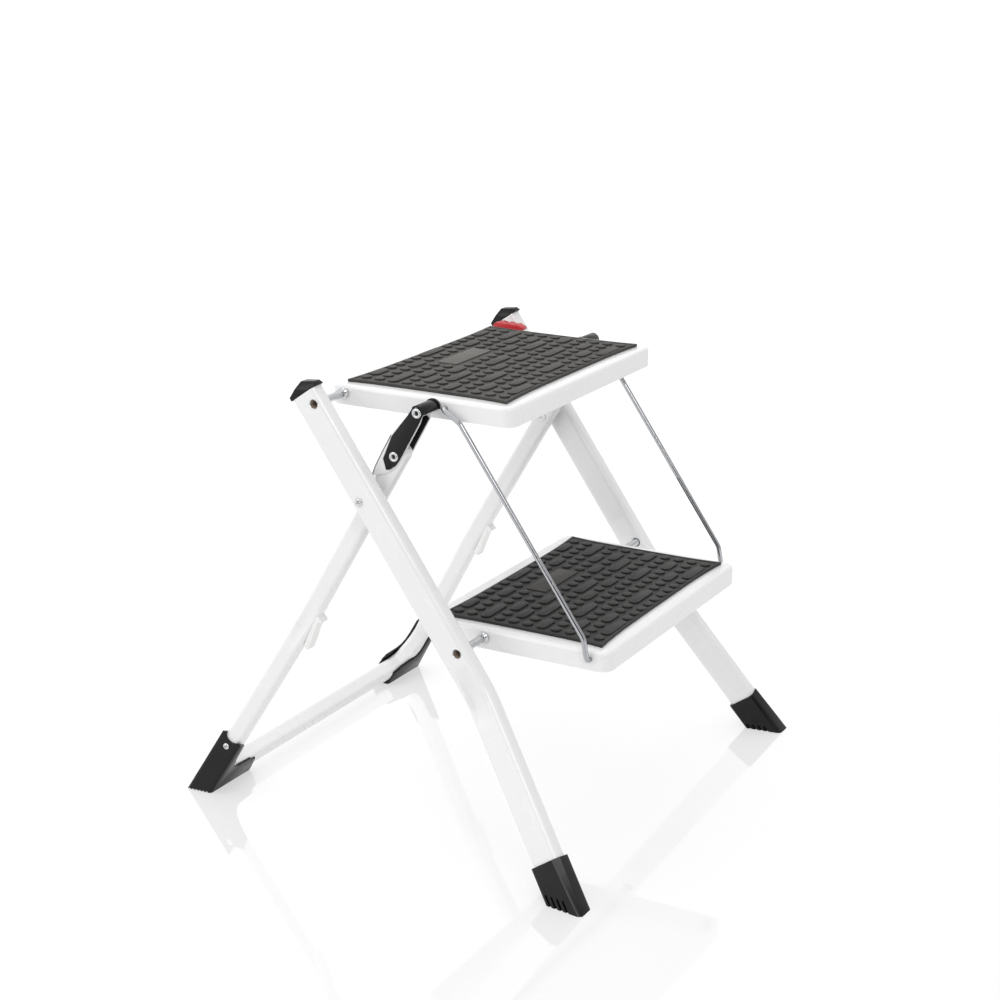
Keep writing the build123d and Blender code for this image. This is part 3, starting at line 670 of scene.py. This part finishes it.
def front_leg_cap():
    """Hipped cap with softened ridges that closes the top of a front leg."""
    width, depth = LEG_WIDTH / 2 + CAP_LIP, LEG_DEPTH / 2 + CAP_LIP
    rear_low = leg_top - leg_front * depth
    front_low = leg_top + leg_front * depth
    rear_rim = rear_low - down_leg * CAP_RIM
    plateau = front_low.z + CAP_RISE
    outline = [
        (rear_low.y, rear_low.z), (rear_rim.y, rear_rim.z), (rear_rim.y - 11.0, plateau - 1.5),
        (front_low.y + 1.5, plateau), (front_low.y - 1.8, plateau - 2.8), (front_low.y, front_low.z),
    ]
    cap = plate(outline, -LEG_PLANE - width, -LEG_PLANE + width, SIDE_VIEW)
    for side in (-1, 1):
        hip = (-LEG_PLANE + side * width, 0, plateau - CAP_HIP)
        trimmed(cap, hip, Vector((side * CAP_HIP_SLOPE, 0, 1)))
    bmesh.ops.recalc_face_normals(cap, faces=cap.faces)
    rounded(cap, cap.edges[:], CAP_ROUNDING, segments=3)
    return cap


FOOT_WALL = 1.6
FOOT_CORNER = 4.0
FOOT_TOP_HEIGHT = 35.5
FOOT_ROUNDING = 0.6
FOOT_FLAT = 6.2             # the flat strip on its outer front corner
FOOT_FLAT_LENGTH = 110.0    # down to where the strip would run out
GROOVES = 4
GROOVE_START = 4.5          # ahead of the rear wall
GROOVE_PITCH = 5.2
GROOVE_TOP = 9.0            # above the floor
GROOVE_DEPTH = 1.6
GROOVE_WIDTH = 2.2


def along_lower_leg(height):
    """Point of a front leg's splayed axis at a height."""
    return leg_bend + down_foot * ((height - leg_bend.z) / down_foot.z)


def front_foot():
    """Boot with a flat strip on its outer front corner, notches round its toe and a level sole."""
    rim = along_lower_leg(FOOT_TOP_HEIGHT)
    width, depth = LEG_WIDTH / 2 + FOOT_WALL, LEG_DEPTH / 2 + FOOT_WALL
    place = placed(rim, across_foot, leg_front)
    outline = [(-width, -depth), (width, -depth), (width, depth), (-width, depth)]
    boot = plate(outline, 0, BEYOND, place, edge=FOOT_ROUNDING, corner=FOOT_CORNER)
    slope = Vector((-1, 1, -FOOT_FLAT / FOOT_FLAT_LENGTH))
    strip_edge = place @ Vector((-width + FOOT_FLAT, depth, 0))
    trimmed(boot, strip_edge, place.to_3x3() @ slope)
    trimmed(boot, (0, 0, 0), (0, 0, -1))
    bmesh.ops.recalc_face_normals(boot, faces=boot.faces)
    knives = []
    for number in range(GROOVES):
        y = -depth + GROOVE_START + number * GROOVE_PITCH
        middle = place @ Vector((-width, y, 0))
        drop = (GROOVE_TOP - middle.z) / down_foot.z
        for side in (-1, 1):
            start, stop = side * (width - GROOVE_DEPTH), side * (width + 2)
            groove = [(start, y), (stop, y), (stop, y + GROOVE_WIDTH), (start, y + GROOVE_WIDTH)]
            knives.append(plate(groove, drop, BEYOND, place))
    return cut(boot, joined(*knives))


def main_rivet():
    """Domed rivet head with a dimpled middle, on the front leg's outer face."""
    face = -LEG_PLANE - LEG_WIDTH / 2
    place = across_at(main_pivot)
    inner = -REAR_PLANE + REAR_WIDTH / 2
    return turned([
        (0, face + 1.6), (0.9, face + 1.2), (1.6, face - 1.2), (2.0, face - 1.8), (2.7, face - 1.9),
        (3.7, face - 1.3), (4.3, face - 0.2), (4.3, face), (3.4, face), (3.4, inner), (4.8, inner),
        (4.9, inner + 0.3), (4.2, inner + 0.6), (2.4, inner + 0.6), (2.0, inner - 2), (0, inner - 2),
    ], place)


# ---- rear frame ---------------------------------------------------------------------------------
REAR_DENT_DEPTH = 1.8
REAR_DENT_HALF_WIDTH = 7.0
SHOE_WALL = 2.6
SHOE_ROUNDING = 2.6
SCREW_UP = 43.0             # up the leg from the corner
SHOE_HALF = 12.8            # half its depth, square to the frame
SHOE_OUTLINE = [            # inwards from the corner, and up the frame
    (-2.7, 56.5), (9.5, 50.0), (9.5, 30.0), (11.0, 21.0), (15.0, 16.0), (22.0, 13.5), (45.0, 12.0),
    (49.0, 8.0), (57.0, 6.5), (58.5, -6.0), (54.0, -45.0), (-15.2, -45.0),
]
REAR_TOE = 44.0             # the rear wall's toe is shorter than the front wall's
REAR_TOE_SLOPE = 8.0        # its end leans inwards by this much at its top
SHOE_RIM = 55.0             # up the leg from the corner
DIP_RADIUS = 11.0           # the rim is hollow between its front and rear walls
DIP_DEPTH = 5.0
TEETH = 6
TOOTH_START = 0.8           # the first one, in pitches from the rear edge
TOOTH_PITCH = 4.2
TOOTH_HALF = 1.8
TOOTH_DEPTH = 2.2


def rear_tube_half():
    """Left half of the rear tube, from its rounded top end to the middle of the floor run."""
    top = leg_pin - down_rear * REAR_DEPTH - ACROSS * (REAR_PLANE + leg_pin.x)
    reach = REAR_BEND_RADIUS * math.tan(REAR_SPLAY / 2)
    run = (rear_bend - top).length - reach
    bm = tube_section(REAR_WIDTH, REAR_DEPTH, REAR_CORNER, placed(top, ACROSS, rear_front))
    loop = drawn_out(bm, bm.edges[:], [down_rear * (run - FINE_RUN)] + fine_steps(down_rear))
    centre = rear_bend - down_rear * reach - ACROSS * REAR_BEND_RADIUS
    loop = turned_on(bm, loop, -rear_front, centre, REAR_SPLAY)
    corner_turn = math.radians(90) + REAR_SPLAY
    corner_reach = REAR_CORNER_RADIUS * math.tan(corner_turn / 2)
    run = (rear_corner - rear_bend).length - reach - corner_reach
    loop = drawn_out(bm, loop, fine_steps(down_shoe) + [down_shoe * (run - FINE_RUN)])
    centre = rear_corner - down_shoe * corner_reach + across_shoe * REAR_CORNER_RADIUS
    loop = turned_on(bm, loop, rear_front, centre, corner_turn)
    drawn_out(bm, loop, [ACROSS * (-rear_corner.x - corner_reach)])
    ends = [edge for edge in bm.edges if edge.is_boundary]
    bmesh.ops.holes_fill(bm, edges=[edge for edge in ends if edge.verts[0].co.x < -1], sides=0)
    pressed_in(bm, rear_bend, down_rear, rear_front, ACROSS, REAR_DENT_HALF_WIDTH, REAR_DENT_DEPTH)
    return bm


def rear_top_cutter():
    """What lies outside the rounded top ends of both rear legs."""
    radius = REAR_DEPTH / 2
    arc = [math.pi * step / 16 for step in range(17)]
    outline = [(radius * math.cos(angle), radius * math.sin(angle)) for angle in arc]
    outline += [(-2 * radius, 0), (-2 * radius, 4 * radius), (2 * radius, 4 * radius), (2 * radius, 0)]
    middle = Vector((0, leg_pin.y, leg_pin.z))
    reach = REAR_PLANE + REAR_WIDTH
    return plate(outline, -reach, reach, placed(middle, -rear_front, -down_rear))


def rear_tube():
    """Bent tube of the rear frame, pressed in where its legs bend outwards."""
    left = rear_tube_half()
    bm = joined(mirrored(left), left)
    bmesh.ops.remove_doubles(bm, verts=bm.verts, dist=0.001)
    bmesh.ops.recalc_face_normals(bm, faces=bm.faces)
    return cut(bm, rear_top_cutter())


PATH_STEPS = 10
PATH_TOP = 80.0             # up the leg from the corner, past the shoe's rim


def tube_path():
    """Outer outline of the bent rear tube, seen square to the frame, and the space inside it."""
    lean = math.tan(REAR_SPLAY)
    half = REAR_WIDTH / 2
    radius = REAR_CORNER_RADIUS + half
    centre_v = REAR_CORNER_RADIUS
    centre_u = REAR_CORNER_RADIUS / math.cos(REAR_SPLAY) + REAR_CORNER_RADIUS * lean
    start = math.pi - REAR_SPLAY
    arc = []
    for step in range(PATH_STEPS + 1):
        angle = start + (1.5 * math.pi - start) * step / PATH_STEPS
        arc.append((centre_u + radius * math.cos(angle), centre_v + radius * math.sin(angle)))
    top = (PATH_TOP * lean - half / math.cos(REAR_SPLAY), PATH_TOP)
    return [top] + arc + [(BEYOND, -half), (BEYOND, PATH_TOP)]


def rear_shoe():
    """Channel-shaped boot round a rear corner: two side walls, an outer wall and a toothed sole."""
    place = placed(rear_corner, ACROSS, -down_rear)
    shoe = plate(SHOE_OUTLINE, -SHOE_HALF, SHOE_HALF, place, edge=SHOE_ROUNDING)
    inside = plate(tube_path(), -REAR_DEPTH / 2, REAR_DEPTH / 2, place)
    shoe = cut(shoe, inside)
    toe_end = [
        (REAR_TOE + REAR_TOE_SLOPE, 60), (REAR_TOE, -60), (REAR_TOE + BEYOND, -60), (REAR_TOE + BEYOND, 60),
    ]
    shoe = cut(shoe, plate(toe_end, -2 * SHOE_HALF, -REAR_DEPTH / 2 - 0.2, place))
    dip_centre = rear_corner - down_shoe * (SHOE_RIM + DIP_RADIUS - DIP_DEPTH)
    dip = turned([(0, -20), (DIP_RADIUS, -20), (DIP_RADIUS, 20), (0, 20)],
                 placed(dip_centre, down_shoe, rear_front), steps=64)
    shoe = cut(shoe, dip)
    trimmed(shoe, (0, 0, 0), (0, 0, -1))
    bmesh.ops.recalc_face_normals(shoe, faces=shoe.faces)
    rear = max(vertex.co.y for vertex in shoe.verts)
    knives = []
    for number in range(TEETH):
        y = rear - TOOTH_PITCH * (number + TOOTH_START)
        notch = [(y - TOOTH_HALF, -1), (y, TOOTH_DEPTH), (y + TOOTH_HALF, -1)]
        knives.append(plate(notch, rear_corner.x - 40, rear_corner.x + 2, SIDE_VIEW))
    return cut(shoe, joined(*knives))


RECESS_REACH = 1.7          # half the length and half the width of each arm of the cross
RECESS_HALF = 0.45


def screw_head():
    """Domed screw head with a cross recess, on the rear shoe's outer wall."""
    seat = rear_corner - down_shoe * SCREW_UP - across_shoe * (REAR_WIDTH / 2 + SHOE_WALL)
    place = placed(seat, down_shoe, rear_front)
    head = turned([
        (0, 1.7), (1.6, 1.5), (2.8, 0.9), (3.4, 0.1), (3.4, -0.3), (1.6, -0.3), (1.6, -6.0), (0, -6.0),
    ], place)
    for x, y in ((RECESS_REACH, RECESS_HALF), (RECESS_HALF, RECESS_REACH)):
        head = cut(head, plate([(-x, -y), (x, -y), (x, y), (-x, y)], 0.7, 3.0, place))
    return head


CLIP_OUTLINE = [            # down the rear leg from the main pivot, and forwards of its axis
    (151, 9), (151.5, 11.5), (153.5, 16.5), (156, 16), (157, 13), (170, 14.8), (190, 18), (191.5, 16),
    (189, 11.5), (164, 9.6), (163, 9),
]


CLIP_HALF = 6.0             # half its width


def transport_clip():
    """Springy tongue that holds the lower rod when the stool is folded."""
    points = [main_pivot + down_rear * down + rear_front * out for down, out in CLIP_OUTLINE]
    outline = [(point.y, point.z) for point in points]
    return plate(outline, -REAR_PLANE - CLIP_HALF, -REAR_PLANE + CLIP_HALF, SIDE_VIEW, edge=0.5)


# ---- links --------------------------------------------------------------------------------------
LINK_INNER = 159.7          # the channel's inner and outer faces, from the stool's middle
LINK_OUTER = 178.7
CHEEK = 1.5                 # thickness of a cheek, and of the cover on it
COVER = 1.7
HOOD_RADIUS = 7.3
HOOD_WALL = 1.7
HOOD_RIM = 2.6              # length of the thicker ring at its inner end
HOOD_RIM_RISE = 0.9
HOOD_FROM = math.radians(100)
HOOD_TO = math.radians(248)
HOOD_STEPS = 20

# Outlines run down the link from the tread's pin, and rearwards of the line through its two pins.
COVER_OUTLINE = [
    (-2, -6.2), (8, -6.6), (50, -6.6), (58, -6), (66, -2.5), (69, 1.0), (61, 9.2), (36, 12.0), (8, 7.4),
    (-2, 6.6),
]
CHEEK_OUTLINE = [
    (-1, -5.5), (3, -6.2), (8, -7.1), (50, -7.1), (60, -5.5), (70, -1.8), (84, 10.3), (84.5, 12.2),
    (73, 13.6), (56, 14.0), (36, 14.0), (8, 7.8), (3, 5.5), (-1, 5.5),
]
WEB_OUTLINE = [
    (36, 12.6), (56, 12.6), (73, 12.4), (83, 11.0), (84.5, 12.2), (73, 13.6), (56, 14.0), (36, 14.0),
]
# Black linings inside the channel: partly real plastic, partly painted shade where the channel's inside
# falls in shadow.
SHADE_LINING_OUTLINE = [(-1, 3.5), (6, 5.0), (34, 10.2), (62, 10.2), (62, 8.6), (34, 8.8), (6, 3.6), (-1, 2.1)]
SHADE_SIDE_OUTLINE = [(6, -6.4), (48, -6.4), (52, -3), (54, 3), (52, 9), (34, 9.5), (6, 4)]
SHADE_SIDE_THICKNESS = 1.2
COVER_GAP = 0.05            # between the cover's plastic and the steel


def link_channel():
    """White steel channel with two cheeks and a rear web that flares out at its lower end."""
    cheeks = [plate(CHEEK_OUTLINE, x, x + CHEEK, LINK_VIEW, edge=0.25)
              for x in (-LINK_OUTER, -LINK_INNER - CHEEK)]
    web = plate(WEB_OUTLINE, -LINK_OUTER, -LINK_INNER, LINK_VIEW, edge=0.25)
    return joined(*cheeks, web)


def link_cover():
    """Black cover: a plate on the outer cheek, a hood over the tread's pin, and black linings in the
    channel that are partly real plastic and partly painted shade.
    """
    outer = -LINK_OUTER - COVER
    inner_cheek = -LINK_INNER - CHEEK
    hood_end = node_box("link_cover_left")[1].x
    face = plate(COVER_OUTLINE, outer, -LINK_OUTER - COVER_GAP, LINK_VIEW, edge=0.8)
    # The linings' black is partly painted shade inside the channel.
    shade_lining = plate(SHADE_LINING_OUTLINE, -LINK_OUTER + CHEEK, inner_cheek, LINK_VIEW, edge=0.3)
    side = plate(SHADE_SIDE_OUTLINE, inner_cheek - SHADE_SIDE_THICKNESS, inner_cheek - COVER_GAP, LINK_VIEW, edge=0.2)
    hood = half_sleeve(outer, hood_end, HOOD_RADIUS)
    rim = half_sleeve(hood_end - HOOD_RIM, hood_end, HOOD_RADIUS + HOOD_RIM_RISE)
    return joined(face, hood, rim, shade_lining, side)


def half_sleeve(start, end, outside):
    """Half sleeve over the pin, open below."""
    angles = [HOOD_FROM + (HOOD_TO - HOOD_FROM) * step / HOOD_STEPS for step in range(HOOD_STEPS + 1)]
    inside = HOOD_RADIUS - HOOD_WALL
    outline = [(outside * math.cos(angle), outside * math.sin(angle)) for angle in angles]
    outline += [(inside * math.cos(angle), inside * math.sin(angle)) for angle in reversed(angles)]
    return plate(outline, start, end, LINK_VIEW, edge=0.3)


def rivet(centre, face, tail, tail_head):
    """Rivet with a bright rolled rim round a dark dimple."""
    place = across_at(centre)
    profile = [
        (0, face + 1.6), (1.1, face + 1.3), (1.9, face + 0.2), (2.3, face - 1.2), (3.0, face - 1.8),
        (3.9, face - 1.8), (4.7, face - 1.2), (5.0, face - 0.3), (5.0, face), (3.0, face), (3.0, tail),
    ]
    if tail_head:
        profile += [(4.8, tail), (4.6, tail + 0.6), (2.6, tail + 0.7)]
    return turned(profile + [(0, tail)], place)


# ---- latch --------------------------------------------------------------------------------------
LATCH_OUTLINE = [           # rearwards and upwards from the upper rod
    (7, 2), (8, 9), (5, 11.2), (-1, 12.2), (-6, 11.2), (-11, 12.0), (-16, 11.0), (-21, 11.6), (-28, 8.5),
    (-28, 6), (-22, 2), (-22, -4), (-26, -9), (-20, -12), (-14, -6), (-6, -7), (2, -7),
]


LATCH_BORE = 4.1            # radius


def safety_latch():
    """Red lever with a ribbed thumb rest and a hook below, on the upper rod."""
    low, high = node_box("safety_latch")
    outline = [(upper_rod.y + back, upper_rod.z + up) for back, up in LATCH_OUTLINE]
    lever = plate(outline, low.x, high.x, SIDE_VIEW, edge=0.8)
    drill = turned([(0, low.x - 1), (LATCH_BORE, low.x - 1), (LATCH_BORE, high.x + 1), (0, high.x + 1)],
                   across_at(upper_rod))
    return cut(lever, drill)


# ---- scene --------------------------------------------------------------------------------------
def build_stool():
    """Every piece of the stool, each on its body and standing for its CAD nodes."""
    finish_cad_nodes()
    for level in ("upper", "lower"):
        node = f"{level}_tread_mat"
        show(studded_mat(node), f"{level}_mat_studded", [node])
        # The plate's rubber is painted lighter as a painted sheen.
        show(mat_plate(node), f"{level}_mat_plate", [node], finish=plate_painted_sheen[level])
    show_both(front_leg(), "front_leg_bent", "front_leg")
    show_both(front_leg_cap(), "front_leg_cap_hipped", "front_leg_cap", crease=25.0)
    show_both(front_foot(), "front_foot_grooved", "front_foot")
    show_both(main_rivet(), "main_rivet", "main_pivot", crease=60.0)
    for name, centre in (("upper", upper_rod), ("lower", lower_rod)):
        show(rod(centre), f"{name}_rod_flared", [f"{name}_rod"], crease=60.0, slot="zinc_steel")
        show(rod_bores(centre), f"{name}_rod_bores", [f"{name}_rod"], finish=bore_raw_steel_and_painted_shade)
        show(rod_collars(f"{name}_rod_collars", centre), f"{name}_collars", [f"{name}_rod_collars"])
    show(rear_tube(), "rear_tube_bent", ["rear_frame_tube"])
    show_both(rear_shoe(), "rear_shoe", "rear_foot")
    show_both(screw_head(), "rear_shoe_screw", "rear_foot_screw")
    show_both(transport_clip(), "transport_clip_tongue", "transport_clip")
    show_both(link_channel(), "link_channel_pressed", "link_channel")
    show_both(link_cover(), "link_cover_hooded", "link_cover")
    cover_face = -LINK_OUTER - COVER
    pin_tail = node_box("link_pin_left")[1].x
    show_both(rivet(tread_pin, cover_face, pin_tail, False), "tread_pin_rivet", "link_pin", crease=60.0)
    show_both(rivet(leg_pin, cover_face, -LINK_INNER, True), "leg_pin_rivet", "rear_link_pin",
              crease=60.0)
    show(safety_latch(), "safety_latch_lever", ["safety_latch"])


# ---- studio, in metres --------------------------------------------------------------------------
FLOOR_HALF = 40.0
FLOOR_GLOW = 0.55           # its own light evens out the shade under the stool


def floor():
    """Polished white acrylic floor: almost shadowless, with a faint sharp reflection of the stool."""
    bm = bmesh.new()
    bmesh.ops.create_grid(bm, x_segments=1, y_segments=1, size=FLOOR_HALF)
    mesh = bpy.data.meshes.new("floor")
    bm.to_mesh(mesh)
    bm.free()
    material, _, shader, _ = new_material("studio_floor_white")
    shader.inputs["Base Color"].default_value = linear("#9a9a9a")
    shader.inputs["Roughness"].default_value = 0.0
    shader.inputs["Specular IOR Level"].default_value = 1.0
    shader.inputs["Emission Color"].default_value = (1, 1, 1, 1)
    shader.inputs["Emission Strength"].default_value = FLOOR_GLOW
    mesh.materials.append(material)
    plane = bpy.data.objects.new("floor", mesh)
    bpy.context.scene.collection.objects.link(plane)


CAMERA_AT = Vector((-1.7559, -0.9975, 0.9156))
CAMERA_LOOKS_AT = Vector((-0.0139, -0.0205, 0.3007))
CAMERA_LENS = 74.45
CAMERA_ROLL = math.radians(0.19)


def camera():
    """Looks down on the stool from its front left."""
    lens = bpy.data.cameras.new("camera")
    lens.lens = CAMERA_LENS
    lens.sensor_width = 36.0
    lens.clip_end = 200.0
    eye = bpy.data.objects.new("camera", lens)
    aim = (CAMERA_LOOKS_AT - CAMERA_AT).to_track_quat("-Z", "Y").to_matrix().to_4x4()
    eye.matrix_world = Matrix.Translation(CAMERA_AT) @ aim @ Matrix.Rotation(CAMERA_ROLL, 4, "Z")
    bpy.context.scene.collection.objects.link(eye)
    bpy.context.scene.camera = eye


ROOM_LIGHT = 1.07
OPENING_CORE = 0.95         # cosines off its middle, where the opening is dark and where it ends
OPENING_EDGE = 0.88
DIM_SIDE = Vector((0.5, -0.85, 0.1)).normalized()
DIM_SHARE = 0.6


def world():
    """White room, dimmer to the stool's front right, with a dark opening behind the camera."""
    room = bpy.data.worlds.new("white_room")
    room.use_nodes = True
    tree = room.node_tree
    where = add(tree, "ShaderNodeTexCoord", {}).outputs["Generated"]
    opening = (CAMERA_AT - CAMERA_LOOKS_AT).normalized()
    facing = add(tree, "ShaderNodeVectorMath", {"operation": "DOT_PRODUCT"}, _0=where, _1=opening)
    light = add(tree, "ShaderNodeMapRange", {"interpolation_type": "SMOOTHSTEP"},
                Value=facing.outputs["Value"], From_Min=OPENING_EDGE, From_Max=OPENING_CORE,
                To_Min=ROOM_LIGHT, To_Max=0.0)
    aside = add(tree, "ShaderNodeVectorMath", {"operation": "DOT_PRODUCT"}, _0=where, _1=DIM_SIDE)
    shade = add(tree, "ShaderNodeMapRange", {}, Value=aside.outputs["Value"], From_Min=0.0,
                From_Max=1.0, To_Min=1.0, To_Max=DIM_SHARE)
    strength = add(tree, "ShaderNodeMath", {"operation": "MULTIPLY"}, _0=light.outputs[0],
                   _1=shade.outputs[0])
    tree.nodes["Background"].inputs["Color"].default_value = linear("#ffffff")
    tree.links.new(strength.outputs[0], tree.nodes["Background"].inputs["Strength"])
    bpy.context.scene.world = room


LIGHTS_AIM = Vector((0, 0, 0.2))


def soft_light(name, place, size, power):
    """Square soft box aimed at the stool."""
    light = bpy.data.lights.new(name, "AREA")
    light.shape = "SQUARE"
    light.size = size
    light.energy = power
    lamp = bpy.data.objects.new(name, light)
    aim = (LIGHTS_AIM - Vector(place)).to_track_quat("-Z", "Y").to_matrix().to_4x4()
    lamp.matrix_world = Matrix.Translation(place) @ aim
    bpy.context.scene.collection.objects.link(lamp)


def studio():
    """Floor, camera, room and lights."""
    floor()
    camera()
    world()
    soft_light("overhead", (0.3, 0.4, 2.6), 2.5, 13.0)
    soft_light("from_left_back", (-2.2, 1.6, 1.6), 1.2, 8.0)
    soft_light("beside_camera", (-1.95, -1.72, 2.0), 0.9, 13.0)
    bpy.context.scene.view_settings.view_transform = "Standard"


build_stool()
studio()
